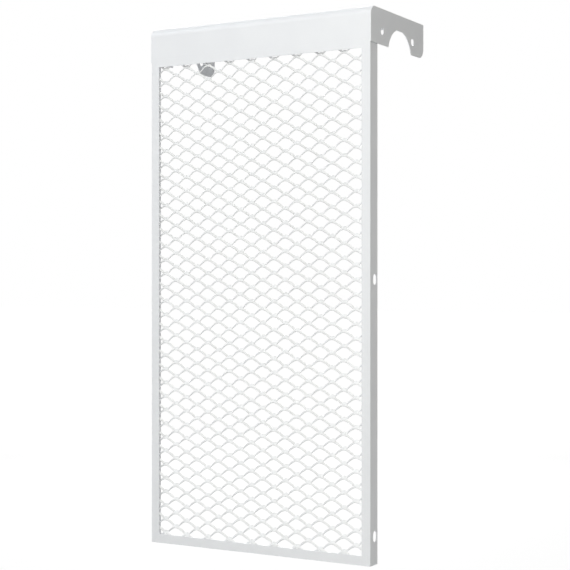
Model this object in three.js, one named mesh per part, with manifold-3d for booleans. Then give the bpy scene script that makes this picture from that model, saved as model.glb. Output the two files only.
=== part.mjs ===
// A hanging steel cover for a sectional radiator, in millimetres, +Z up.
//
// X runs along the cover's width, -Y is its front and +Y the side of the radiator. The origin is
// in the middle of the flat underside of the top sheet, which lies on the radiator. A bent cap
// with a rolled front edge is closed at its ends by two cheek plates, which are notched for the
// radiator's pipes. Below the cap hangs a frame of four angle members. It is welded edge to edge
// to the fascia, with which its face is flush, and the cheeks lap its sides. A raised expanded
// metal net is welded to the back of the frame's lips.

import * as THREE from 'three';
import { mergeVertices } from 'three/addons/utils/BufferGeometryUtils.js';
import Module from 'manifold-3d';

const wasm = await Module();
wasm.setup();

// Overall sizes
const coverWidth = 290; // over the cheek plates
const coverHeight = 610; // top of the cap to the bottom of the frame
const coverDepth = 140; // front of the fascia to the back edge of the cap

// Sheet and fits
const sheet = 0.8; // thickness of every sheet piece
const seam = 0.2; // clearance between two pieces that are welded together
const overrun = 5; // how far a cutter runs past what it cuts

// Cap
const rollRadius = 10; // outside of the rolled front edge
const capDrop = 40; // height of the cheek plates

// Cheek plates
const pipeBehindMiddle = 5; // centre of the pipe notch, behind the middle of the depth
const pipeBelowTop = 48.5;
const pipeRadius = 31.5;
const crownBelowTop = 18; // the notch ends in a short flat here
const tailRadius = 12; // lower back corner
const cheekSlotWidth = 7.4;
const cheekSlotHeight = 8.2;
const cheekSlotBelowTop = 24.7; // centre of the slots
const cheekSlotAheadOfPipe = 46.2; // centre of the front slot, ahead of the notch's centre
const cheekSlotSpacing = 80.5; // front slot to rear slot

// Frame
const lipWidth = 10.5; // face of the frame round the net
const flangeDepth = 18; // outside of the frame, front to back
const bendRadius = 0.4; // outside of the frame's bends, which are folded sharp
const cheekLap = 4.4; // how far the cheeks lap the sides of the frame
const frameSlotWidth = 7.6;
const frameSlotHeight = 12;
const frameSlotBehindFace = 11.2; // centre of the slots, behind the front of the frame
const frameSlotAboveFoot = 31.2; // centre of the lower slot
const frameSlotSpacing = 280.6; // lower slot to middle slot
const frameSlotCount = 2; // in each stile

// Net: a raised expanded metal with its long way level
const longWay = 29.61; // bond to bond along X
const shortWay = 16.12; // bond to bond along Z
const strandRise = 1.3; // how much higher the back of a strand lies than its face
const strandDepth = 3.3; // front to back
const strandFace = 1.65; // height of a strand's face, measured upright
const bondHeight = 2.7; // height of the face where two strands are joined
const netColumns = 20; // columns of bonds
const netFootAboveRail = 4.3; // middle of the lowest bonds above the bottom rail's flange
const netLap = 5; // how far the net runs up behind the top rail, at least

// Fineness of round stretches
const rollSteps = 14;
const bendSteps = 4;
const notchSteps = 40;
const cornerSteps = 10;
const slotSteps = 10;

// Places that follow from the sizes, measured from the origin
const topZ = sheet;
const footZ = topZ - coverHeight;
const frontY = -(coverDepth + rollRadius) / 2;
const backY = frontY + coverDepth;
const halfWidth = coverWidth / 2;
const capHalfWidth = halfWidth - sheet - seam; // the cheek plates close its ends
const capFootZ = topZ - capDrop;
const frameBackY = frontY + flangeDepth;
const lipBackY = frontY + sheet;
const frameHalfWidth = halfWidth - sheet - seam; // the frame hangs between the cheek plates
const frameTopZ = capFootZ + cheekLap;
const fasciaFootZ = frameTopZ + seam;
const topRailFootZ = frameTopZ - lipWidth;
const flangeEndX = frameHalfWidth - sheet - seam; // where a rail's flange ends beside a stile
const frameSlotY = frontY + frameSlotBehindFace;

const quarter = Math.PI / 2;

// Powder-coated steel, a shade darker on the net so that it can be told from the frame.
const coat = () => new THREE.MeshStandardMaterial({ color: 0xeef0f1, roughness: 0.42, metalness: 0 });
const netCoat = () => new THREE.MeshStandardMaterial({ color: 0xe6e8e9, roughness: 0.45, metalness: 0 });

/** Makes a boolean solid of a closed geometry, whose shared corners are merged first. */
function solidOf(geometry) {
  const bare = geometry.clone();
  bare.deleteAttribute('normal');
  bare.deleteAttribute('uv');
  const merged = mergeVertices(bare);
  return new wasm.Manifold(new wasm.Mesh({
    numProp: 3,
    vertProperties: new Float32Array(merged.attributes.position.array),
    triVerts: new Uint32Array(merged.index.array),
  }));
}

/** Turns a boolean solid back into a geometry. */
function geometryOf(solid) {
  const mesh = solid.getMesh();
  const geometry = new THREE.BufferGeometry();
  geometry.setAttribute('position', new THREE.BufferAttribute(new Float32Array(mesh.vertProperties), 3));
  geometry.setIndex(new THREE.BufferAttribute(new Uint32Array(mesh.triVerts), 1));
  geometry.computeVertexNormals();
  return geometry;
}

/** Cuts a list of geometries out of a geometry. */
function cut(geometry, cutters) {
  let solid = solidOf(geometry);
  for (const cutter of cutters) {
    solid = solid.subtract(solidOf(cutter));
  }
  return geometryOf(solid);
}

/** Points of an arc, ends included. */
function arc(centreX, centreY, radius, from, to, steps) {
  const points = [];
  for (let step = 0; step <= steps; step += 1) {
    const angle = from + ((to - from) * step) / steps;
    points.push(new THREE.Vector2(centreX + radius * Math.cos(angle), centreY + radius * Math.sin(angle)));
  }
  return points;
}

/** A block between two corners. */
function block(lowX, lowY, lowZ, highX, highY, highZ) {
  const geometry = new THREE.BoxGeometry(highX - lowX, highY - lowY, highZ - lowZ);
  geometry.translate((lowX + highX) / 2, (lowY + highY) / 2, (lowZ + highZ) / 2);
  return geometry;
}

/** An outline in Y and Z, given thickness along X from lowX to highX. */
function alongX(outline, lowX, highX) {
  const geometry = new THREE.ExtrudeGeometry(outline, { depth: highX - lowX, bevelEnabled: false });
  geometry.rotateX(quarter);
  geometry.rotateZ(quarter);
  geometry.translate(lowX, 0, 0);
  return geometry;
}

/** An outline in X and Z, given thickness along Y from lowY to highY. */
function alongY(outline, lowY, highY) {
  const geometry = new THREE.ExtrudeGeometry(outline, { depth: highY - lowY, bevelEnabled: false });
  geometry.rotateX(quarter);
  geometry.translate(0, highY, 0);
  return geometry;
}

/** An outline in X and Y, given height along Z from lowZ to highZ. */
function alongZ(outline, lowZ, highZ) {
  const geometry = new THREE.ExtrudeGeometry(outline, { depth: highZ - lowZ, bevelEnabled: false });
  geometry.translate(0, 0, lowZ);
  return geometry;
}

/** The outline of an upright slot with round ends, in Y and Z. */
function slotPoints(centreY, centreZ, width, height) {
  const radius = width / 2;
  const straight = height / 2 - radius;
  return [
    ...arc(centreY, centreZ + straight, radius, 0, Math.PI, slotSteps),
    ...arc(centreY, centreZ - straight, radius, Math.PI, 2 * Math.PI, slotSteps),
  ];
}

/** The section of the frame's angle: its corner at the origin, the lip along +x, the flange along +y. */
function angleSection() {
  return new THREE.Shape([
    new THREE.Vector2(lipWidth, 0),
    new THREE.Vector2(lipWidth, sheet),
    new THREE.Vector2(sheet, sheet),
    new THREE.Vector2(sheet, flangeDepth),
    new THREE.Vector2(0, flangeDepth),
    ...arc(bendRadius, bendRadius, bendRadius, 2 * quarter, 3 * quarter, bendSteps),
  ]);
}

/** The cap: fascia, rolled edge and top sheet, bent from one strip. */
function capGeometry() {
  const centreY = frontY + rollRadius;
  const centreZ = topZ - rollRadius;
  const outline = new THREE.Shape([
    new THREE.Vector2(frontY, fasciaFootZ),
    ...arc(centreY, centreZ, rollRadius, 2 * quarter, quarter, rollSteps),
    new THREE.Vector2(backY, topZ),
    new THREE.Vector2(backY, topZ - sheet),
    ...arc(centreY, centreZ, rollRadius - sheet, quarter, 2 * quarter, rollSteps),
    new THREE.Vector2(frontY + sheet, fasciaFootZ),
  ]);
  return alongX(outline, -capHalfWidth, capHalfWidth);
}

/** A cheek plate, from lowX to highX: it follows the cap's outline and is notched for a pipe. */
function cheekGeometry(lowX, highX) {
  const centreY = frontY + rollRadius;
  const centreZ = topZ - rollRadius;
  const notchY = frontY + coverDepth / 2 + pipeBehindMiddle;
  const notchZ = topZ - pipeBelowTop;
  const mouth = Math.asin((capFootZ - notchZ) / pipeRadius);
  const crown = Math.asin((pipeBelowTop - crownBelowTop) / pipeRadius);
  const outline = new THREE.Shape([
    new THREE.Vector2(frontY, capFootZ),
    ...arc(notchY, notchZ, pipeRadius, Math.PI - mouth, Math.PI - crown, notchSteps / 2),
    ...arc(notchY, notchZ, pipeRadius, crown, mouth, notchSteps / 2),
    ...arc(backY - tailRadius, capFootZ + tailRadius, tailRadius, -quarter, 0, cornerSteps),
    new THREE.Vector2(backY, topZ),
    ...arc(centreY, centreZ, rollRadius, quarter, 2 * quarter, rollSteps),
  ]);
  const frontSlotY = notchY - cheekSlotAheadOfPipe;
  for (const slotY of [frontSlotY, frontSlotY + cheekSlotSpacing]) {
    const slot = slotPoints(slotY, topZ - cheekSlotBelowTop, cheekSlotWidth, cheekSlotHeight);
    outline.holes.push(new THREE.Path(slot));
  }
  return alongX(outline, lowX, highX);
}

/**
 * A cutter for the lips' mitre at a corner of the frame, which lies at edgeZ. inward is 1 where the
 * lip's width runs upwards from that edge, else -1. ofStile tells whether a stile's lip is cut or a
 * rail's.
 */
function mitreCutter(side, edgeZ, inward, ofStile) {
  const away = inward * (ofStile ? -1 : 1);
  const offset = (-away * seam) / Math.SQRT2;
  const reach = away * (lipWidth + 2 * overrun);
  const onMitre = (along, shift) => (
    new THREE.Vector2(side * (frameHalfWidth - along), edgeZ + inward * along + offset + shift)
  );
  const outline = new THREE.Shape([
    onMitre(-overrun, 0),
    onMitre(lipWidth + overrun, 0),
    onMitre(lipWidth + overrun, reach),
    onMitre(-overrun, reach),
  ]);
  return alongY(outline, frontY - overrun, lipBackY);
}

/** A stile: side is -1 on the left and 1 on the right. */
function stileGeometry(side) {
  const geometry = alongZ(angleSection(), footZ, frameTopZ);
  geometry.translate(-frameHalfWidth, frontY, 0);
  const slots = [];
  for (let index = 0; index < frameSlotCount; index += 1) {
    const centreZ = footZ + frameSlotAboveFoot + index * frameSlotSpacing;
    const slot = new THREE.Shape(slotPoints(frameSlotY, centreZ, frameSlotWidth, frameSlotHeight));
    slots.push(alongX(slot, -frameHalfWidth - overrun, -frameHalfWidth + sheet + overrun));
  }
  const mitres = [mitreCutter(-1, footZ, 1, true), mitreCutter(-1, frameTopZ, -1, true)];
  const left = cut(geometry, [...slots, ...mitres]);
  return side < 0 ? left : mirrored(left);
}

/** The same geometry on the other side of the cover's middle. */
function mirrored(geometry) {
  const twin = geometry.clone();
  twin.scale(-1, 1, 1);
  const index = twin.index.array;
  for (let corner = 0; corner < index.length; corner += 3) {
    [index[corner], index[corner + 1]] = [index[corner + 1], index[corner]];
  }
  twin.computeVertexNormals();
  return twin;
}

/**
 * A rail of the frame with its flange at edgeZ. inward is 1 where its lip rises from there and -1
 * where it hangs. The lip is mitred against the stiles and the flange runs between theirs.
 */
function railGeometry(edgeZ, inward) {
  const geometry = alongZ(angleSection(), -frameHalfWidth, frameHalfWidth);
  geometry.rotateY(-inward * quarter);
  geometry.translate(0, frontY, edgeZ);
  const cutters = [-1, 1].flatMap((side) => [
    flangeEndCutter(side, edgeZ),
    mitreCutter(side, edgeZ, inward, false),
  ]);
  return cut(geometry, cutters);
}

/** A cutter that ends a rail's flange beside a stile's flange, for a rail whose flange is at edgeZ. */
function flangeEndCutter(side, edgeZ) {
  const near = side * flangeEndX;
  const far = side * (frameHalfWidth + overrun);
  const reach = lipWidth + overrun;
  return block(
    Math.min(near, far), lipBackY, edgeZ - reach,
    Math.max(near, far), frameBackY + overrun, edgeZ + reach,
  );
}

/**
 * The net. A strand has a flat face in front and runs back and up to an edge, so each strand is a
 * wedge. Four strands meet at each bond. The net is trimmed along its outermost bonds.
 */
function netGeometry() {
  const faceY = lipBackY + seam;
  const edgeY = faceY + strandDepth;
  const stepX = longWay / 2;
  const stepZ = shortWay / 2;
  const lowestZ = footZ + sheet + netFootAboveRail;
  const netTopZ = topRailFootZ + netLap;
  const rows = Math.ceil((netTopZ - lowestZ) / stepZ) + 1;
  const gapHalfHeight = (shortWay - bondHeight) / 2;
  const gapHalfWidth = (stepX * gapHalfHeight) / (strandFace - stepZ + 2 * gapHalfHeight);

  const points = [];
  const triangles = [];
  const known = new Map();
  const vertex = (key, x, y, z) => {
    if (!known.has(key)) {
      known.set(key, points.length / 3);
      points.push(x, y, z);
    }
    return known.get(key);
  };
  const bondX = (column) => (column - (netColumns - 1) / 2) * stepX;
  const bondZ = (row) => lowestZ + row * stepZ;
  const isBond = (column, row) => (
    column >= 0 && column < netColumns && row >= 0 && row < rows && (column + row) % 2 === 0
  );
  // The face's corner on one side of a bond. It belongs to the gap there, or to the trimmed edge.
  const corner = (column, row, towardX, towardZ) => {
    const reachX = towardX * (stepX - gapHalfWidth);
    const reachZ = towardZ * (stepZ - gapHalfHeight);
    return vertex(`face ${column} ${row} ${towardX} ${towardZ}`, bondX(column) + reachX, faceY, bondZ(row) + reachZ);
  };
  const edge = (column, row) => vertex(`edge ${column} ${row}`, bondX(column), edgeY, bondZ(row) + strandRise);
  const triangle = (a, b, c) => triangles.push(a, b, c);
  const quad = (a, b, c, d) => {
    triangle(a, b, c);
    triangle(a, c, d);
  };

  for (let column = 0; column < netColumns; column += 1) {
    for (let row = 0; row < rows; row += 1) {
      if (!isBond(column, row)) {
        continue;
      }
      const left = corner(column, row, -1, 0);
      const right = corner(column, row, 1, 0);
      const above = corner(column, row, 0, 1);
      const below = corner(column, row, 0, -1);
      quad(left, below, right, above);
      const hasUpRight = isBond(column + 1, row + 1);
      const hasDownRight = isBond(column + 1, row - 1);
      const hasUpLeft = isBond(column - 1, row + 1);
      const hasDownLeft = isBond(column - 1, row - 1);
      // The strands that leave to the right, each with its face and its upper and lower sides
      if (hasUpRight) {
        const farBelow = corner(column + 1, row + 1, 0, -1);
        const farLeft = corner(column + 1, row + 1, -1, 0);
        quad(right, farBelow, farLeft, above);
        quad(above, farLeft, edge(column + 1, row + 1), edge(column, row));
        quad(farBelow, right, edge(column, row), edge(column + 1, row + 1));
      }
      if (hasDownRight) {
        const farAbove = corner(column + 1, row - 1, 0, 1);
        const farLeft = corner(column + 1, row - 1, -1, 0);
        quad(below, farLeft, farAbove, right);
        quad(farLeft, below, edge(column, row), edge(column + 1, row - 1));
        quad(right, farAbove, edge(column + 1, row - 1), edge(column, row));
      }
      // The sides of a bond where no strand leaves are closed to its edge behind
      if (!hasUpRight) {
        triangle(above, right, edge(column, row));
      }
      if (!hasDownRight) {
        triangle(right, below, edge(column, row));
      }
      if (!hasUpLeft) {
        triangle(left, above, edge(column, row));
      }
      if (!hasDownLeft) {
        triangle(below, left, edge(column, row));
      }
    }
  }
  const geometry = new THREE.BufferGeometry();
  geometry.setAttribute('position', new THREE.Float32BufferAttribute(points, 3));
  geometry.setIndex(triangles);
  geometry.computeVertexNormals();
  return geometry;
}

/** A named piece. */
function piece(name, geometry, material) {
  const mesh = new THREE.Mesh(geometry, material);
  mesh.name = name;
  return mesh;
}

const cover = new THREE.Group();

const cap = new THREE.Group();
cap.add(piece('top_cap', capGeometry(), coat()));
cap.add(piece('left_cheek', cheekGeometry(-halfWidth, -halfWidth + sheet), coat()));
cap.add(piece('right_cheek', cheekGeometry(halfWidth - sheet, halfWidth), coat()));
cover.add(cap);

const frame = new THREE.Group();
frame.add(piece('left_stile', stileGeometry(-1), coat()));
frame.add(piece('right_stile', stileGeometry(1), coat()));
frame.add(piece('top_rail', railGeometry(frameTopZ, -1), coat()));
frame.add(piece('bottom_rail', railGeometry(footZ, 1), coat()));
frame.add(piece('expanded_net', netGeometry(), netCoat()));
cover.add(frame);

export default cover;
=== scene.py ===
"""The looks of a hanging steel cover for a sectional radiator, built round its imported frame.

A cap with a rolled front edge is closed at its ends by two notched cheek plates. Below it, flush
with its fascia, hangs a frame of four mitred angle members, with a raised expanded metal net
welded behind their lips. Each class folds, cuts or draws one of these from sheet, at the places
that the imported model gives, and a powder coat finishes every piece. Sizes are in metres.
"""

import logging
import math
from collections.abc import Callable, Iterator, Sequence
from contextlib import contextmanager
from dataclasses import dataclass
from enum import Enum

import bmesh
import bpy
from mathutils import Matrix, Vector


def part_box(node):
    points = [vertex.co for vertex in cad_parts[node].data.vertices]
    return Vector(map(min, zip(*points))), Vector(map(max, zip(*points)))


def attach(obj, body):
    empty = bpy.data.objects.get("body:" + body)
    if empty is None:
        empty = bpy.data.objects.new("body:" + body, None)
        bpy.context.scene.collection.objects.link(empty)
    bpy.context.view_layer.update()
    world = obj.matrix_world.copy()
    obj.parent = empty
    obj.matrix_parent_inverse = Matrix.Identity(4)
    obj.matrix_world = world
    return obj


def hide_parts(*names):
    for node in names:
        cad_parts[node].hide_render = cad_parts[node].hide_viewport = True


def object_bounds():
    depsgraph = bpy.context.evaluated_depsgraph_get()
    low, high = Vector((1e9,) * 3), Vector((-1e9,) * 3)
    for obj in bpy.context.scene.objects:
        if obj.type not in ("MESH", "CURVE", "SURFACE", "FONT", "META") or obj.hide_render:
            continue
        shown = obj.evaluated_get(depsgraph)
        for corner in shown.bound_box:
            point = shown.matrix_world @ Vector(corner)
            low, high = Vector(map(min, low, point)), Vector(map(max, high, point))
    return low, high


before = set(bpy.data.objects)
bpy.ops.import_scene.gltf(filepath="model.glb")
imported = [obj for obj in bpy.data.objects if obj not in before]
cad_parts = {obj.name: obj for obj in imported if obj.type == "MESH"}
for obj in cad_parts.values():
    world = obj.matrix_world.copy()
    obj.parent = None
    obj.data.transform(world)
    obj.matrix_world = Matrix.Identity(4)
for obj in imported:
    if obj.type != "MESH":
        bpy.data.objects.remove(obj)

CAD_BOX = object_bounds()
BODY = "root"
MM = 0.001
QUARTER = math.pi / 2
NEAR = 0.02 * MM  # two places closer than this are the same
ALONG_SHARE = 0.9  # a direction with more than this share along an axis follows that axis
SHEET = 0.8 * MM  # thickness of the cap, the cheeks and the frame
ROLL = 10 * MM  # outside radius of the rolled front edge
ROLL_STEPS = 24  # faces round the roll, and round the cheek corners that close it
EDGE = 0.18 * MM  # how far a coated edge is rounded
EDGE_STEPS = 2  # faces across that rounding
CUTTER_REACH = 4 * SHEET  # half the length of the cutters for slots and notches

log = logging.getLogger("radiator_cover")


# Modelling

class Pick(Enum):
    """What a selection in edit mode is made of."""

    VERTS = "VERT"
    EDGES = "EDGE"
    FACES = "FACE"


class Side(Enum):
    """The two ends of the cover."""

    LEFT = -1
    RIGHT = 1


class End(Enum):
    """The two ends of the frame's height."""

    BOTTOM = -1
    TOP = 1


def work_on(piece: bpy.types.Object) -> None:
    """Makes a piece the only selected object, and the active one."""
    bpy.ops.object.select_all(action="DESELECT")
    piece.select_set(True)
    bpy.context.view_layer.objects.active = piece


@contextmanager
def editing(piece: bpy.types.Object, kind: Pick = Pick.FACES) -> Iterator[None]:
    """Opens a piece in edit mode with nothing selected, and closes it again.

    Args:
        piece: The mesh to edit.
        kind: What a selection is made of.
    """
    work_on(piece)
    bpy.ops.object.mode_set(mode="EDIT")
    bpy.ops.mesh.select_mode(type=kind.value)
    bpy.ops.mesh.select_all(action="DESELECT")
    yield
    bpy.ops.object.mode_set(mode="OBJECT")


def pick(piece: bpy.types.Object, kind: Pick, test: Callable[[Vector, Vector], bool]) -> int:
    """Selects the parts of a mesh in edit mode that pass a test, and nothing else.

    Args:
        piece: The mesh, open in edit mode.
        kind: Whether vertices, edges or faces are tested.
        test: Takes a part's middle and its way, which is an edge's direction or else the normal.

    Returns:
        How many parts were selected.
    """
    mesh = bmesh.from_edit_mesh(piece.data)
    bpy.ops.mesh.select_all(action="DESELECT")
    if kind is Pick.VERTS:
        found = [vert for vert in mesh.verts if test(vert.co, vert.normal)]
    elif kind is Pick.EDGES:
        found = [edge for edge in mesh.edges if test(middle(edge), direction(edge))]
    else:
        found = [face for face in mesh.faces if test(face.calc_center_median(), face.normal)]
    for part in found:
        part.select_set(True)
    mesh.select_flush_mode()
    bmesh.update_edit_mesh(piece.data)
    return len(found)


def middle(edge: bmesh.types.BMEdge) -> Vector:
    """The middle of an edge."""
    return (edge.verts[0].co + edge.verts[1].co) / 2


def direction(edge: bmesh.types.BMEdge) -> Vector:
    """The direction of an edge, with no fixed sense."""
    return (edge.verts[1].co - edge.verts[0].co).normalized()


def shift(by: Vector) -> None:
    """Moves what is selected in edit mode."""
    bpy.ops.transform.translate(value=by)


def extrude(by: Vector) -> None:
    """Extrudes what is selected in edit mode and moves the new part."""
    bpy.ops.mesh.extrude_region_move(TRANSFORM_OT_translate={"value": by})


def bisect(piece: bpy.types.Object, place: Vector, normal: Vector, fill: bool = False) -> None:
    """Cuts a piece by a plane and clears what lies on the normal's side.

    Args:
        piece: The mesh to cut.
        place: A point of the plane.
        normal: The plane's normal, towards what is cleared.
        fill: Whether the cut is closed.
    """
    with editing(piece):
        bpy.ops.mesh.select_all(action="SELECT")
        bpy.ops.mesh.bisect(plane_co=place, plane_no=normal, clear_outer=True, use_fill=fill)


def apply_modifier(piece: bpy.types.Object, kind: str, **settings: object) -> None:
    """Adds a modifier to a piece and applies it.

    Args:
        piece: The mesh.
        kind: The modifier's type.
        **settings: The modifier's settings.
    """
    work_on(piece)
    modifier = piece.modifiers.new(kind.title(), kind)
    for name, value in settings.items():
        setattr(modifier, name, value)
    bpy.ops.object.modifier_apply(modifier=modifier.name)


def cut_out(piece: bpy.types.Object, cutter: bpy.types.Object) -> None:
    """Cuts a closed shape out of a piece and removes the shape."""
    apply_modifier(piece, "BOOLEAN", operation="DIFFERENCE", solver="EXACT", object=cutter)
    bpy.data.objects.remove(cutter)


def face_outwards(piece: bpy.types.Object) -> None:
    """Merges a piece's doubles and turns its faces outwards."""
    with editing(piece):
        bpy.ops.mesh.select_all(action="SELECT")
        bpy.ops.mesh.remove_doubles(threshold=NEAR)
        bpy.ops.mesh.normals_make_consistent(inside=False)


def thicken(piece: bpy.types.Object, outside: Vector) -> None:
    """Gives a folded sheet its thickness, away from its outside.

    Args:
        piece: The folded sheet.
        outside: The normal that its largest flat has on the outside.
    """
    with editing(piece):
        if pick(piece, Pick.FACES, lambda _, normal: normal.dot(outside) < -ALONG_SHARE):
            bpy.ops.mesh.select_all(action="SELECT")
            bpy.ops.mesh.flip_normals()
    apply_modifier(piece, "SOLIDIFY", thickness=SHEET, offset=-1, use_even_offset=True)


def settle(name: str, size: Sequence[float] = (1, 1, 1)) -> bpy.types.Object:
    """Names and stretches the shape that was just added, and puts its place in its mesh.

    Args:
        name: The piece's name.
        size: How much it is stretched along its own axes.

    Returns:
        The piece.
    """
    piece = bpy.context.active_object
    work_on(piece)
    piece.name = name
    piece.scale = size
    bpy.ops.object.transform_apply(location=True, rotation=True, scale=True)
    return piece


def plate(name: str, low: Vector, high: Vector) -> bpy.types.Object:
    """Adds a flat plate, or a block, between two corners.

    Args:
        name: The piece's name.
        low: The lowest corner.
        high: The highest corner.

    Returns:
        The new piece, with its place in its mesh.
    """
    bpy.ops.mesh.primitive_cube_add(size=1, location=(low + high) / 2)
    return settle(name, high - low)


def sheet_face(name: str, low: Vector, high: Vector) -> bpy.types.Object:
    """Adds one flat face of a sheet, level or parallel to the front, between two corners.

    Args:
        name: The piece's name.
        low: The lowest corner.
        high: The highest corner.

    Returns:
        The new piece, with its place in its mesh.
    """
    size = high - low
    upright = size.z > size.y
    turn = QUARTER if upright else 0
    bpy.ops.mesh.primitive_plane_add(size=1, location=(low + high) / 2, rotation=(turn, 0, 0))
    return settle(name, (size.x, size.z if upright else size.y, 1))


def slot_cutter(centre: Vector, width: float, height: float) -> bpy.types.Object:
    """Adds a cutter for an upright slot with round ends, which runs along X.

    Args:
        centre: The slot's middle.
        width: The slot's width, front to back.
        height: The slot's height over its round ends.

    Returns:
        The cutter.
    """
    sides = 32
    bpy.ops.mesh.primitive_cylinder_add(
        vertices=sides, radius=width / 2, depth=2 * CUTTER_REACH, location=centre,
        rotation=(math.pi / sides, QUARTER, 0),
    )
    cutter = settle("slot_cutter")
    for toward in (-1, 1):
        with editing(cutter, Pick.VERTS):
            pick(cutter, Pick.VERTS, lambda place, _: toward * (place.z - centre.z) > 0)
            shift(Vector((0, 0, toward * (height - width) / 2)))
    return cutter


def soften(piece: bpy.types.Object, keep: Callable[[Vector], bool]) -> None:
    """Rounds a piece's sharp edges as a coat does, and shades it smooth between them.

    Args:
        piece: The mesh.
        keep: Tells from an edge's middle that it stays sharp, as where a weld is ground flush.
    """
    sharp = math.radians(40)
    smooth = math.radians(46)
    with editing(piece, Pick.EDGES):
        mesh = bmesh.from_edit_mesh(piece.data)
        for edge in mesh.edges:
            if edge.is_manifold and edge.calc_face_angle() > sharp and not keep(middle(edge)):
                edge.select_set(True)
        bmesh.update_edit_mesh(piece.data)
        bpy.ops.mesh.bevel(offset=EDGE, segments=EDGE_STEPS, affect="EDGES", clamp_overlap=True)
    work_on(piece)
    bpy.ops.object.shade_smooth_by_angle(angle=smooth)
    apply_modifier(piece, "WEIGHTED_NORMAL", keep_sharp=True)


# Finishes

NOISE_LOW, NOISE_HIGH = 0.3, 0.7  # nearly all of a noise's values lie between these
MIX_COLOURS, MIX_RESULT = (6, 7), 2  # a mix node's sockets for colours, by number


@dataclass(frozen=True)
class Shader:
    """The nodes of a material or of the world, with short ways to add and join them."""

    owner: bpy.types.Material | bpy.types.World

    def add(self, kind: str, **values: object) -> bpy.types.Node:
        """Adds a node.

        Args:
            kind: The node's type.
            **values: Its properties, or with the prefix put_ its inputs, by name.

        Returns:
            The node.
        """
        node = self.owner.node_tree.nodes.new(kind)
        for name, value in values.items():
            if name.startswith("put_"):
                node.inputs[name.removeprefix("put_").replace("_", " ")].default_value = value
            else:
                setattr(node, name, value)
        return node

    def join(self, source: bpy.types.NodeSocket, target: bpy.types.NodeSocket) -> None:
        """Joins an output to an input."""
        self.owner.node_tree.links.new(source, target)

    def noise(self, size: float, detail: float = 2) -> bpy.types.NodeSocket:
        """A noise on the piece's own coordinates.

        Args:
            size: The size of its lumps, in metres.
            detail: How many finer layers it has.

        Returns:
            The noise's value, about 0.5 on the average.
        """
        place = self.add("ShaderNodeTexCoord")
        lumps = self.add("ShaderNodeTexNoise", put_Scale=1 / size, put_Detail=detail)
        self.join(place.outputs["Object"], lumps.inputs["Vector"])
        return lumps.outputs["Fac"]

    def between(
        self, value: bpy.types.NodeSocket, low: float, high: float,
    ) -> bpy.types.NodeSocket:
        """Maps the middle of a noise's range to a range of values.

        Args:
            value: The noise.
            low: What the noise's low places give.
            high: What its high places give.

        Returns:
            The mapped value.
        """
        mapped = self.add("ShaderNodeMapRange")
        mapped.inputs["From Min"].default_value = NOISE_LOW
        mapped.inputs["From Max"].default_value = NOISE_HIGH
        mapped.inputs["To Min"].default_value = low
        mapped.inputs["To Max"].default_value = high
        self.join(value, mapped.inputs["Value"])
        return mapped.outputs["Result"]

    def mix(
        self, share: bpy.types.NodeSocket, first: Sequence[float], second: Sequence[float],
    ) -> bpy.types.NodeSocket:
        """Mixes two colours.

        Args:
            share: How much of the second colour shows.
            first: The first colour.
            second: The second colour.

        Returns:
            The mixed colour.
        """
        mixed = self.add("ShaderNodeMix", data_type="RGBA")
        self.join(share, mixed.inputs["Factor"])
        for socket, colour in zip(MIX_COLOURS, (first, second)):
            mixed.inputs[socket].default_value = (*colour, 1)
        return mixed.outputs[MIX_RESULT]


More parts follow.
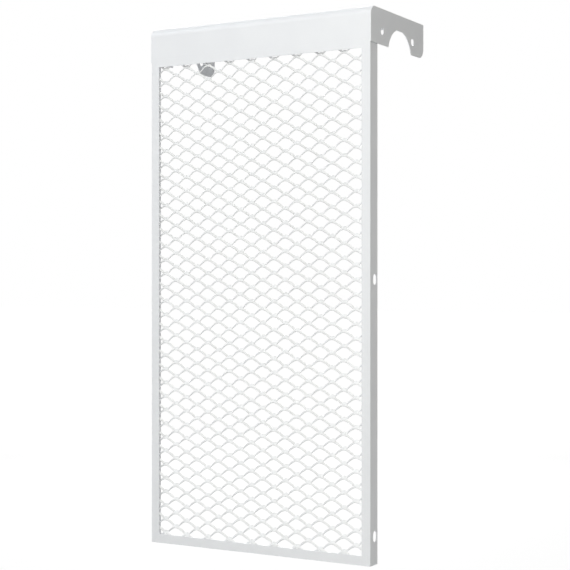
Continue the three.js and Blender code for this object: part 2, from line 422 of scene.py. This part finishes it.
@dataclass(frozen=True)
class PowderCoat:
    """A satin powder coat on steel: an orange peel over a sheet that is never quite flat.

    Attributes:
        name: The material's name.
        colour: The coat's colour where it is thickest.
        thin_colour: Its colour where it is thinnest, along the edges.
        index: Its refractive index.
        cloud_size: Size of the places where it is thicker or thinner.
        cloud_share: How thin it gets there, of how thin it is along the edges.
        low_roughness: Roughness in its glossiest places.
        high_roughness: Roughness in its dullest places.
        gloss_peels: Size of those places, in dimples.
        peel_size: Size of the peel's dimples.
        peel_depth: Depth of the dimples.
        wave_size: Size of the waves in the sheet.
        wave_depth: Depth of the waves.
        edge_round: How far the coat draws back from an edge, where it is thin.
        edge_samples: How many rays look for an edge.
        flat_match: How well the rounded normal matches the true one where a face counts as flat.
        edge_match: How well it matches where the coat is thinnest.
    """

    name: str
    colour: tuple[float, float, float]
    thin_colour: tuple[float, float, float]
    index: float = 1.5
    cloud_size: float = 35 * MM
    cloud_share: float = 0.5
    low_roughness: float = 0.36
    high_roughness: float = 0.46
    gloss_peels: float = 4
    peel_size: float = 1.6 * MM
    peel_depth: float = 0.012 * MM
    wave_size: float = 70 * MM
    wave_depth: float = 0.10 * MM
    edge_round: float = 0.5 * MM
    edge_samples: int = 4
    flat_match: float = 0.98
    edge_match: float = 0.75

    def make(self) -> bpy.types.Material:
        """Builds the coat's nodes.

        Returns:
            The material.
        """
        material = bpy.data.materials.new(self.name)
        material.use_nodes = True
        shader = Shader(material)
        coat = material.node_tree.nodes["Principled BSDF"]
        coat.inputs["IOR"].default_value = self.index

        cloud = shader.between(shader.noise(self.cloud_size, detail=3), 0, self.cloud_share)
        thin = shader.add("ShaderNodeMath", operation="MAXIMUM")
        shader.join(cloud, thin.inputs[0])
        shader.join(self.edges(shader), thin.inputs[1])
        tint = shader.mix(thin.outputs["Value"], self.colour, self.thin_colour)
        shader.join(tint, coat.inputs["Base Color"])

        places = shader.noise(self.peel_size * self.gloss_peels)
        gloss = shader.between(places, self.low_roughness, self.high_roughness)
        shader.join(gloss, coat.inputs["Roughness"])

        peel = shader.add("ShaderNodeBump", put_Strength=1, put_Distance=self.peel_depth)
        shader.join(shader.noise(self.peel_size, detail=1), peel.inputs["Height"])
        wave = shader.add("ShaderNodeBump", put_Strength=1, put_Distance=self.wave_depth)
        shader.join(shader.noise(self.wave_size, detail=0), wave.inputs["Height"])
        shader.join(wave.outputs["Normal"], peel.inputs["Normal"])
        shader.join(peel.outputs["Normal"], coat.inputs["Normal"])
        return material

    def edges(self, shader: Shader) -> bpy.types.NodeSocket:
        """Finds the edges, where a coat is thin: its value is 1 there and 0 on flat faces."""
        rounded = shader.add(
            "ShaderNodeBevel", samples=self.edge_samples, put_Radius=self.edge_round,
        )
        true = shader.add("ShaderNodeNewGeometry")
        match = shader.add("ShaderNodeVectorMath", operation="DOT_PRODUCT")
        shader.join(rounded.outputs["Normal"], match.inputs[0])
        shader.join(true.outputs["Normal"], match.inputs[1])
        mask = shader.add("ShaderNodeMapRange", clamp=True)
        mask.inputs["From Min"].default_value = self.flat_match
        mask.inputs["From Max"].default_value = self.edge_match
        shader.join(match.outputs["Value"], mask.inputs["Value"])
        return mask.outputs["Result"]


FRAME_COAT = PowderCoat("frame_coat", colour=(0.84, 0.855, 0.88), thin_colour=(0.80, 0.815, 0.845))
NET_COAT = PowderCoat(
    "net_coat", colour=(0.85, 0.86, 0.865), thin_colour=(0.81, 0.82, 0.83),
    peel_size=1.1 * MM, wave_depth=0,
)


def dress(
    piece: bpy.types.Object, nodes: list[str], material: bpy.types.Material,
) -> None:
    """Coats a finished piece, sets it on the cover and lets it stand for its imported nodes.

    Args:
        piece: The mesh, with its place in its vertices.
        nodes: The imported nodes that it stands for.
        material: Its coat.
    """
    piece.data.materials.clear()
    piece.data.materials.append(material)
    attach(piece, BODY)
    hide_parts(*nodes)
    log.info("%s: %d faces", piece.name, len(piece.data.polygons))


# The sheet pieces

class Cap:
    """The top sheet, its rolled front edge and the fascia, bent from one strip."""

    def build(self) -> bpy.types.Object:
        """Bends the strip, gives it its thickness and rounds its edges.

        Returns:
            The cap.
        """
        low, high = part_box("top_cap")
        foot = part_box("top_rail")[1].z
        half = between_cheeks()
        cap = sheet_face(
            "cap_shell", Vector((-half, low.y + ROLL, high.z)), Vector((half, high.y, high.z)),
        )
        axis = Vector((0, low.y + ROLL, high.z - ROLL))
        with editing(cap, Pick.EDGES):
            pick(cap, Pick.EDGES, lambda place, _: abs(place.y - axis.y) < NEAR)
            bpy.ops.mesh.spin(steps=ROLL_STEPS, angle=-QUARTER, center=axis, axis=(1, 0, 0))
            pick(
                cap, Pick.EDGES,
                lambda place, way: place.z < axis.z + NEAR and abs(way.x) > ALONG_SHARE,
            )
            extrude(Vector((0, 0, foot - axis.z)))
        face_outwards(cap)
        thicken(cap, Vector((0, 0, 1)))
        soften(cap, keep=lambda place: abs(place.x) > half - NEAR or place.z < foot + NEAR)
        return cap


@dataclass
class Cheek:
    """An end plate of the cap, notched for a pipe, with a slot on each side of the notch.

    Attributes:
        side: Which end it closes.
        tail: Radius of its lower back corner.
        tail_steps: Faces round that corner.
        notch_radius: Radius of the pipe notch.
        notch_sides: Faces of the cutter for the notch.
        notch_behind_middle: The notch's centre, behind the middle of the plate.
        notch_below_top: The notch's centre, below the top.
        crown_below_top: The flat that ends the notch, below the top.
        slot_width: Width of the slots.
        slot_height: Height of the slots.
        slot_below_top: Middle of the slots, below the top.
        slot_ahead: Middle of the front slot, ahead of the notch's centre.
        slot_spacing: From the front slot to the rear slot.
    """

    side: Side
    tail: float = 12 * MM
    tail_steps: int = 12
    notch_radius: float = 31.5 * MM
    notch_sides: int = 128
    notch_behind_middle: float = 5 * MM
    notch_below_top: float = 48.5 * MM
    crown_below_top: float = 18 * MM
    slot_width: float = 7.4 * MM
    slot_height: float = 8.2 * MM
    slot_below_top: float = 24.7 * MM
    slot_ahead: float = 46.2 * MM
    slot_spacing: float = 80.5 * MM

    @property
    def node(self) -> str:
        """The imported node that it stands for."""
        return f"{self.side.name.lower()}_cheek"

    def build(self) -> bpy.types.Object:
        """Cuts the plate out.

        Returns:
            The cheek plate.
        """
        low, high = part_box(self.node)
        cheek = plate(f"{self.node}_plate", low, high)
        self.round_corner(cheek, low.y, high.z, ROLL, ROLL_STEPS)
        self.round_corner(cheek, high.y, low.z, self.tail, self.tail_steps)
        centre = Vector((
            (low.x + high.x) / 2,
            (low.y + high.y) / 2 + self.notch_behind_middle,
            high.z - self.notch_below_top,
        ))
        cut_out(cheek, self.notch_cutter(centre, high.z - self.crown_below_top))
        for behind in (-self.slot_ahead, self.slot_spacing - self.slot_ahead):
            place = Vector((centre.x, centre.y + behind, high.z - self.slot_below_top))
            cut_out(cheek, slot_cutter(place, self.slot_width, self.slot_height))
        soften(cheek, keep=lambda place: self.on_weld(place, low, high))
        return cheek

    def round_corner(
        self, cheek: bpy.types.Object, y: float, z: float, radius: float, steps: int,
    ) -> None:
        """Rounds a corner of the plate.

        Args:
            cheek: The plate.
            y: Where the corner lies, front to back.
            z: The height of the corner.
            radius: The radius that it gets.
            steps: Faces round it.
        """
        def is_corner(place: Vector, way: Vector) -> bool:
            """Tells the corner's short edge, across the sheet, from the plate's other edges."""
            at_corner = abs(place.y - y) < NEAR and abs(place.z - z) < NEAR
            return at_corner and abs(way.x) > ALONG_SHARE

        with editing(cheek, Pick.EDGES):
            pick(cheek, Pick.EDGES, is_corner)
            bpy.ops.mesh.bevel(offset=radius, segments=steps, affect="EDGES")

    def notch_cutter(self, centre: Vector, crown: float) -> bpy.types.Object:
        """Adds the cutter for the pipe notch, which ends in a short flat.

        Args:
            centre: The notch's centre.
            crown: The height of the flat.

        Returns:
            The cutter.
        """
        bpy.ops.mesh.primitive_cylinder_add(
            vertices=self.notch_sides, radius=self.notch_radius, depth=2 * CUTTER_REACH,
            location=centre, rotation=(0, QUARTER, 0),
        )
        cutter = settle("notch_cutter")
        bisect(cutter, Vector((0, 0, crown)), Vector((0, 0, 1)), fill=True)
        return cutter

    def on_weld(self, place: Vector, low: Vector, high: Vector) -> bool:
        """Tells whether a point of the plate lies where the cap is welded to it.

        Args:
            place: The point.
            low: The plate's lowest corner.
            high: Its highest corner.

        Returns:
            True on its inner face, along the fascia, the roll and the top sheet.
        """
        inner = low.x if self.side is Side.RIGHT else high.x
        axis = Vector((inner, low.y + ROLL, high.z - ROLL))
        near_arc = 10 * NEAR
        on_fascia = abs(place.y - low.y) < NEAR
        on_top = abs(place.z - high.z) < NEAR
        off_roll = math.hypot(place.y - axis.y, place.z - axis.z) - ROLL
        on_roll = place.y < axis.y and place.z > axis.z and abs(off_roll) < near_arc
        return abs(place.x - inner) < NEAR and (on_fascia or on_top or on_roll)


def between_cheeks() -> float:
    """Half the width between the cheek plates, which the cap and the frame fill."""
    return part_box("right_cheek")[0].x


@dataclass
class AngleMember:
    """A member of the frame, folded from sheet into a lip round the net and a flange behind it.

    Its ends are mitred, welded to its neighbours and ground flush.

    Attributes:
        bend: Outside radius of the fold.
        bend_steps: Faces round the fold.
        lip: Width of the lip.
    """

    bend: float = 0.4 * MM
    bend_steps: int = 4
    lip: float = 10.5 * MM

    def fold(
        self, name: str, low: Vector, high: Vector, fold_at: Vector, bend: float,
    ) -> bpy.types.Object:
        """Folds a lip and a flange from one face.

        Args:
            name: The piece's name.
            low: The lowest corner of the lip's front face and the flange.
            high: Their highest corner.
            fold_at: The fold's x if it is upright, or else its z, with 0 for the other two.
            bend: Outside radius of the fold.

        Returns:
            The folded sheet, with no thickness yet.
        """
        member = sheet_face(name, low, Vector((high.x, low.y, high.z)))
        place_axis, way_axis = (0, 2) if fold_at.x else (2, 0)

        def is_fold(place: Vector, way: Vector) -> bool:
            """Tells the edge that is folded from the lip's other edges."""
            at_fold = abs(place[place_axis] - fold_at[place_axis]) < NEAR
            at_front = abs(place.y - low.y) < NEAR
            return at_fold and at_front and abs(way[way_axis]) > ALONG_SHARE

        with editing(member, Pick.EDGES):
            pick(member, Pick.EDGES, is_fold)
            extrude(Vector((0, high.y - low.y, 0)))
            if bend:
                pick(member, Pick.EDGES, is_fold)
                bpy.ops.mesh.bevel(offset=bend, segments=self.bend_steps, affect="EDGES")
        return member

    def mitre(self, member: bpy.types.Object, cuts: list[tuple[Vector, Vector]]) -> None:
        """Cuts a folded sheet's ends and gives it its thickness, towards the inside of the fold.

        Args:
            member: The folded sheet.
            cuts: For each mitre its corner, and the way to what is cut off.
        """
        for corner, way in cuts:
            bisect(member, corner, way)
        face_outwards(member)
        thicken(member, Vector((0, -1, 0)))


def on_mitre(place: Vector, cuts: list[tuple[Vector, Vector]]) -> bool:
    """Tells whether a point lies on one of the mitres that are given by their corners and ways."""
    near_plane = 2 * NEAR
    return any(abs((place - corner).dot(way)) < near_plane for corner, way in cuts)


@dataclass
class Stile(AngleMember):
    """An upright of the frame, with two slots in its flange.

    Attributes:
        side: Which end of the cover it stands at.
        slot_width: Width of the slots.
        slot_height: Height of the slots.
        slot_behind_face: Middle of the slots, behind the front of the frame.
        slot_above_foot: Middle of the lowest slot, above the foot of the frame.
        slot_spacing: From each slot to the next.
        slots: How many slots it has.
    """

    side: Side = Side.LEFT
    slot_width: float = 7.6 * MM
    slot_height: float = 12 * MM
    slot_behind_face: float = 11.2 * MM
    slot_above_foot: float = 31.2 * MM
    slot_spacing: float = 280.6 * MM
    slots: int = 2

    @property
    def node(self) -> str:
        """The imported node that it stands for."""
        return f"{self.side.name.lower()}_stile"

    def build(self) -> bpy.types.Object:
        """Folds, mitres and slots the stile.

        Returns:
            The stile.
        """
        low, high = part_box(self.node)
        outer = self.side.value * between_cheeks()
        inner = outer - self.side.value * self.lip
        stile = self.fold(
            f"{self.node}_angle",
            Vector((min(outer, inner), low.y, low.z)),
            Vector((max(outer, inner), high.y, high.z)),
            Vector((outer, 0, 0)),
            self.bend,
        )
        cuts = [
            (Vector((outer, 0, place)), Vector((-self.side.value, 0, end.value)).normalized())
            for end, place in ((End.BOTTOM, low.z), (End.TOP, high.z))
        ]
        self.mitre(stile, cuts)
        for index in range(self.slots):
            above = self.slot_above_foot + index * self.slot_spacing
            place = Vector((outer, low.y + self.slot_behind_face, low.z + above))
            cut_out(stile, slot_cutter(place, self.slot_width, self.slot_height))
        soften(stile, keep=lambda place: on_mitre(place, cuts))
        return stile


@dataclass
class Rail(AngleMember):
    """A level member of the frame, with its flange between the stiles' flanges.

    Attributes:
        end: Which end of the frame it closes.
        past_flange: How far the cutters for the flange's ends reach past it.
    """

    end: End = End.BOTTOM
    past_flange: float = 20 * MM

    @property
    def node(self) -> str:
        """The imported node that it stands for."""
        return f"{self.end.name.lower()}_rail"

    def build(self) -> bpy.types.Object:
        """Folds and mitres the rail. The weld to the fascia fills the fold of the upper one.

        Returns:
            The rail.
        """
        low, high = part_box(self.node)
        half = between_cheeks()
        outer = low.z if self.end is End.BOTTOM else high.z
        inner = outer - self.end.value * self.lip
        rail = self.fold(
            f"{self.node}_angle",
            Vector((-half, low.y, min(outer, inner))),
            Vector((half, high.y, max(outer, inner))),
            Vector((0, 0, outer)),
            0 if self.end is End.TOP else self.bend,
        )
        ways = {side: Vector((side.value, 0, -self.end.value)).normalized() for side in Side}
        cuts = [(Vector((side.value * half, 0, outer)), way) for side, way in ways.items()]
        self.mitre(rail, cuts)
        self.end_flange(rail, half - SHEET, low, outer)
        welded = outer if self.end is End.TOP else math.inf
        soften(rail, keep=lambda place: on_mitre(place, cuts) or place.z > welded - NEAR)
        return rail

    def end_flange(self, rail: bpy.types.Object, half: float, low: Vector, outer: float) -> None:
        """Cuts the flange back to the stiles' flanges.

        Args:
            rail: The rail, with its thickness.
            half: Half the length that is left of the flange.
            low: The lowest corner of the rail.
            outer: Height of the flange's outside.
        """
        reach = self.past_flange
        for side in Side:
            near, far = side.value * half, side.value * (half + reach)
            cutter = plate(
                "flange_cutter",
                Vector((min(near, far), low.y + SHEET, outer - reach)),
                Vector((max(near, far), low.y + 2 * reach, outer + reach)),
            )
            cut_out(rail, cutter)


# The net

@dataclass
class ExpandedNet:
    """A raised expanded metal net: slit sheet, drawn out until its strands stand askew.

    Its unit is one bond, two strands wide, with the two strands that leave it upwards. A strand
    leaves a bond's back half and ends as the front half of the bond above, so that each hole has
    an arched crown and a sharp foot.

    Attributes:
        long_way: From bond to bond along X.
        short_way: From bond to bond along Z.
        strand: Width of a strand, across the sheet.
        sheet: Thickness of the sheet.
        bond: Length of a bond.
        arch: The power of a crown's curve: 1 is a gable and 2 is a round arch.
        bond_tilt: How far a bond leans back from upright.
        strand_tilt: How far a strand leans back where it stands most askew.
        lean_share: How far it leans sideways there, as a share of how far it reaches back and up.
        twist: Where that is: above 1 it is nearer to the strand's upper end.
        steps: Faces along a strand.
        smooth: The sharpest fold that is shaded smooth.
        bond_above_foot: Middle of the lowest bonds, above the foot of the frame.
        behind_lip: Gap between the lips and the net's face.
        foot_trim: Where the net ends above the foot of the frame.
        side_trim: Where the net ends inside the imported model's flanges.
        top_lap: How far the net runs up behind the top rail, from the foot of that rail.
    """

    long_way: float = 29.61 * MM
    short_way: float = 16.137 * MM
    strand: float = 2.6 * MM
    sheet: float = 0.8 * MM
    bond: float = 5.9 * MM
    arch: float = 1.58
    bond_tilt: float = math.radians(42)
    strand_tilt: float = math.radians(47)
    lean_share: float = -0.41
    twist: float = 1.17
    steps: int = 8
    smooth: float = math.radians(60)
    bond_above_foot: float = 5.16 * MM
    behind_lip: float = 0.2 * MM
    foot_trim: float = 1.2 * MM
    side_trim: float = 0.6 * MM
    top_lap: float = 8 * MM

    @property
    def reach(self) -> float:
        """How far a strand reaches along X, from the middle of the bond where it ends."""
        return (self.long_way - self.bond) / 2

    @property
    def top(self) -> float:
        """The height of the net's upper end."""
        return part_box("top_rail")[0].z + self.top_lap

    def build(self) -> bpy.types.Object:
        """Draws one unit, repeats it over the frame, trims it and gives it its thickness.

        Returns:
            The net.
        """
        net = self.unit()
        self.repeat(net)
        self.trim(net)
        apply_modifier(net, "SOLIDIFY", thickness=self.sheet, offset=0, use_even_offset=True)
        face_outwards(net)
        work_on(net)
        bpy.ops.object.shade_smooth_by_angle(angle=self.smooth)
        return net

    def cross(self, tilt: float, lean_share: float = 0) -> Vector:
        """The direction across a strand, from its front edge to its back edge."""
        return Vector((lean_share, math.sin(tilt), math.cos(tilt))).normalized()

    def front_half(self, off: float) -> Vector:
        """The arch of a bond's front half and the strands that end there.

        Args:
            off: How far along X from the middle of the bond, which is at the origin.

        Returns:
            The middle of the strand at that place.
        """
        across = self.cross(self.bond_tilt) * self.strand
        drop_share = (self.bond / 2 / self.reach) ** self.arch
        fall = (Vector((0, 0, self.short_way / 2)) - across) / (1 - drop_share)
        return Vector((off, 0, 0)) - across / 2 - fall * (abs(off) / self.reach) ** self.arch

    def strand_edges(self) -> list[tuple[Vector, Vector]]:
        """The front and back points along a strand, from a bond's right end up to the next bond.

        Returns:
            One pair of points for each step, both ends included.
        """
        above = Vector((self.long_way / 2, 0, self.short_way / 2))
        edges = []
        for step in range(self.steps + 1):
            share = step / self.steps
            place = above + self.front_half(-self.reach + (self.reach - self.bond / 2) * share)
            askew_share = math.sin(math.pi * share ** self.twist)
            tilt = self.bond_tilt + (self.strand_tilt - self.bond_tilt) * askew_share
            half = self.cross(tilt, self.lean_share * askew_share) * self.strand / 2
            edges.append((place - half, place + half))
        return edges

    def unit(self) -> bpy.types.Object:
        """Draws the right half of a unit from a flat face and mirrors it.

        Returns:
            The unit's sheet, with its bond's middle at the origin.
        """
        bpy.ops.mesh.primitive_plane_add(
            size=1, location=(self.bond / 4, 0, 0), rotation=(QUARTER - self.bond_tilt, 0, 0),
        )
        unit = settle("expanded_metal_net", (self.bond / 2, 2 * self.strand, 1))
        with editing(unit, Pick.EDGES):
            bpy.ops.mesh.select_all(action="SELECT")
            bpy.ops.mesh.subdivide(number_cuts=1)
            for off in (self.bond / 4, self.bond / 2):
                pick(unit, Pick.VERTS, lambda place, _: abs(place.x - off) < NEAR)
                shift(self.front_half(off) - self.front_half(0) - Vector((off, 0, 0)))
            edges = self.strand_edges()
            self.pick_end(unit, edges[0])
            for (front, back), (next_front, next_back) in zip(edges, edges[1:]):
                extrude(next_front - front)
                moved = back + next_front - front
                pick(unit, Pick.VERTS, lambda place, _: (place - moved).length < NEAR)
                shift(next_back - moved)
                self.pick_end(unit, (next_front, next_back))
        apply_modifier(unit, "MIRROR", use_axis=(True, False, False), merge_threshold=NEAR)
        return unit

    def pick_end(self, unit: bpy.types.Object, ends: tuple[Vector, Vector]) -> None:
        """Picks the edge between two points of a strand."""
        place_of_edge = (ends[0] + ends[1]) / 2
        pick(unit, Pick.EDGES, lambda place, _: (place - place_of_edge).length < NEAR)

    def repeat(self, net: bpy.types.Object) -> None:
        """Repeats the unit past the frame on every side, and joins the copies."""
        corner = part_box("bottom_rail")[0]
        spare = 2  # columns and rows more than the frame holds
        across = math.ceil(2 * between_cheeks() / self.long_way) + spare
        up = math.ceil((self.top - corner.z) / self.short_way) + spare
        thick = self.sheet / 2 * math.cos(self.bond_tilt)
        ahead = self.strand * math.sin(self.bond_tilt) + thick
        half_step = Vector((self.long_way / 2, 0, self.short_way / 2))
        with editing(net):
            bpy.ops.mesh.select_all(action="SELECT")
            shift(Vector((
                -(across * self.long_way - half_step.x) / 2,
                corner.y + SHEET + self.behind_lip + ahead,
                corner.z + self.bond_above_foot - self.short_way,
            )))
            bpy.ops.mesh.duplicate()
            shift(half_step)
        for count, step in ((across, (self.long_way, 0, 0)), (up, (0, 0, self.short_way))):
            apply_modifier(
                net, "ARRAY", count=count, use_relative_offset=False, use_constant_offset=True,
                constant_offset_displace=step,
            )
        face_outwards(net)

    def trim(self, net: bpy.types.Object) -> None:
        """Trims the net between the frame's flanges, above its foot and behind its top rail."""
        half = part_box("right_stile")[1].x - SHEET - self.side_trim
        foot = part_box("bottom_rail")[0].z + self.foot_trim
        for side in Side:
            bisect(net, Vector((side.value * half, 0, 0)), Vector((side.value, 0, 0)))
        for end, height in ((End.BOTTOM, foot), (End.TOP, self.top)):
            bisect(net, Vector((0, 0, height)), Vector((0, 0, end.value)))


# Studio

@dataclass(frozen=True)
class Lamp:
    """A soft square lamp, placed by its bearing from the cover.

    Attributes:
        name: The lamp's name.
        bearing: Its way from the cover, in degrees from the front towards the right.
        rise: Its way above level, in degrees.
        watts: Its power.
        colour: The colour of its light.
        distance: How far it stands from the point that it is aimed at.
        size: The length of its sides.
        aim: How far below the top that point lies.
    """

    name: str
    bearing: float
    rise: float
    watts: float
    colour: tuple[float, float, float] = (1, 1, 1)
    distance: float = 2.2
    size: float = 1.0
    aim: float = 0.3

    def hang(self) -> None:
        """Hangs the lamp and aims it at the cover."""
        bearing, rise = math.radians(self.bearing), math.radians(self.rise)
        way = Vector((
            math.sin(bearing) * math.cos(rise),
            -math.cos(bearing) * math.cos(rise),
            math.sin(rise),
        ))
        data = bpy.data.lights.new(self.name, "AREA")
        data.size = self.size
        data.energy = self.watts
        data.color = self.colour
        lamp = bpy.data.objects.new(self.name, data)
        bpy.context.scene.collection.objects.link(lamp)
        lamp.location = Vector((0, 0, -self.aim)) + way * self.distance
        lamp.rotation_euler = (-way).to_track_quat("-Z", "Y").to_euler()


WARM = (1.0, 0.985, 0.92)
COOL = (0.93, 0.955, 1.0)
LAMPS = (
    Lamp("key_lamp", bearing=30, rise=20, watts=20.4, colour=WARM),
    Lamp("low_lamp", bearing=30, rise=0, watts=7.8, colour=WARM),
    Lamp("front_lamp", bearing=0, rise=40, watts=11.6, colour=COOL),
    Lamp("left_lamp", bearing=-60, rise=40, watts=11.6, colour=COOL),
    Lamp("back_lamp", bearing=180, rise=60, watts=18.1),
    Lamp("left_back_lamp", bearing=-150, rise=20, watts=27.3),
)


@dataclass
class Studio:
    """A white studio: soft lamps, a pale floor under the hanging cover and a white surround.

    Attributes:
        floor_below: The floor, below the foot of the cover.
        floor_size: The length of its sides.
        floor_pale: How much light the floor sends back to the cover.
        floor_seen: How much of its light and shade is seen.
        floor_roughness: How rough it is.
        glow_near: How bright the seen floor glows under the cover.
        glow_far: How bright it glows far away.
        near: The distance up to which it glows as under the cover.
        far: The distance from which it glows as far away.
        lens: The camera's focal length, in millimetres.
        sensor: The width of its sensor, in millimetres.
        camera_place: Where the camera stands.
        camera_turn: How far it is turned from straight along +Y.
        view_shift_shares: How far the view is shifted to the right and up, in picture widths.
    """

    floor_below: float = 110 * MM
    floor_size: float = 40.0
    floor_pale: float = 0.55
    floor_seen: float = 0.15
    floor_roughness: float = 0.9
    glow_near: float = 0.76
    glow_far: float = 0.93
    near: float = 1.85
    far: float = 2.65
    lens: float = 87.488
    sensor: float = 36
    camera_place: tuple[float, float, float] = (0.80383, -1.43019, -0.30575)
    camera_turn: float = math.radians(30.6)
    view_shift_shares: tuple[float, float] = (0.04789, 0.00342)

    def build(self) -> None:
        """Sets up the floor, the surround, the lamps and the camera."""
        self.floor()
        self.world()
        for lamp in LAMPS:
            lamp.hang()
        self.camera()
        bpy.context.scene.view_settings.view_transform = "Standard"

    def floor(self) -> None:
        """Lays a pale floor that reads as white where it is seen but keeps the cover's shadow."""
        bpy.ops.mesh.primitive_plane_add(
            size=self.floor_size, location=(0, 0, CAD_BOX[0].z - self.floor_below),
        )
        ground = bpy.context.active_object
        ground.name = "floor"
        material = bpy.data.materials.new("pale_floor")
        material.use_nodes = True
        shader = Shader(material)
        nodes = material.node_tree.nodes
        seen = seen_rays(shader)
        pale = nodes["Principled BSDF"]
        pale.inputs["Roughness"].default_value = self.floor_roughness
        tint = shader.mix(seen, [self.floor_pale] * 3, [self.floor_seen] * 3)
        shader.join(tint, pale.inputs["Base Color"])
        glow = shader.add("ShaderNodeEmission")
        shader.join(self.glow(shader, seen), glow.inputs["Strength"])
        both = shader.add("ShaderNodeAddShader")
        shader.join(pale.outputs["BSDF"], both.inputs[0])
        shader.join(glow.outputs["Emission"], both.inputs[1])
        shader.join(both.outputs["Shader"], nodes["Material Output"].inputs["Surface"])
        ground.data.materials.append(material)

    def glow(self, shader: Shader, seen: bpy.types.NodeSocket) -> bpy.types.NodeSocket:
        """How bright the floor glows where it is seen, which grows with the distance.

        Args:
            shader: The floor's shader.
            seen: 1 for the rays that see the floor.

        Returns:
            The strength of the glow.
        """
        place = shader.add("ShaderNodeTexCoord")
        away = shader.add("ShaderNodeVectorMath", operation="LENGTH")
        shader.join(place.outputs["Object"], away.inputs[0])
        level = shader.add("ShaderNodeMapRange", clamp=True)
        level.inputs["From Min"].default_value = self.near
        level.inputs["From Max"].default_value = self.far
        level.inputs["To Min"].default_value = self.glow_near
        level.inputs["To Max"].default_value = self.glow_far
        shader.join(away.outputs["Value"], level.inputs["Value"])
        strength = shader.add("ShaderNodeMath", operation="MULTIPLY")
        shader.join(seen, strength.inputs[0])
        shader.join(level.outputs["Result"], strength.inputs[1])
        return strength.outputs["Value"]

    def world(self) -> None:
        """Makes the surround white where it is seen, and dark where it would light the cover."""
        world = bpy.data.worlds.new("surround")
        world.use_nodes = True
        bpy.context.scene.world = world
        shader = Shader(world)
        back = world.node_tree.nodes["Background"]
        back.inputs["Color"].default_value = (1, 1, 1, 1)
        shader.join(seen_rays(shader), back.inputs["Strength"])

    def camera(self) -> None:
        """Stands the camera at the height of the cover's middle, level and to the right."""
        data = bpy.data.cameras.new("camera")
        data.lens = self.lens
        data.sensor_width = self.sensor
        data.shift_x, data.shift_y = self.view_shift_shares
        camera = bpy.data.objects.new("camera", data)
        bpy.context.scene.collection.objects.link(camera)
        camera.location = self.camera_place
        camera.rotation_euler = (QUARTER, 0, self.camera_turn)
        bpy.context.scene.camera = camera


def seen_rays(shader: Shader) -> bpy.types.NodeSocket:
    """1 for rays from the camera, mirrors and glass, and 0 for rays that light the cover."""
    rays = shader.add("ShaderNodeLightPath")
    total = rays.outputs["Is Camera Ray"]
    for name in ("Is Glossy Ray", "Is Transmission Ray"):
        either = shader.add("ShaderNodeMath", operation="MAXIMUM")
        shader.join(total, either.inputs[0])
        shader.join(rays.outputs[name], either.inputs[1])
        total = either.outputs["Value"]
    return total


def main() -> None:
    """Builds the cover's pieces in order, then the studio round them."""
    logging.basicConfig(level=logging.INFO, format="%(name)s %(message)s")
    frame_coat = FRAME_COAT.make()
    net_coat = NET_COAT.make()
    dress(Cap().build(), ["top_cap"], frame_coat)
    for side in Side:
        cheek = Cheek(side)
        dress(cheek.build(), [cheek.node], frame_coat)
        stile = Stile(side=side)
        dress(stile.build(), [stile.node], frame_coat)
    for end in End:
        rail = Rail(end=end)
        dress(rail.build(), [rail.node], frame_coat)
    dress(ExpandedNet().build(), ["expanded_net"], net_coat)
    Studio().build()


if __name__ == "__main__":
    main()
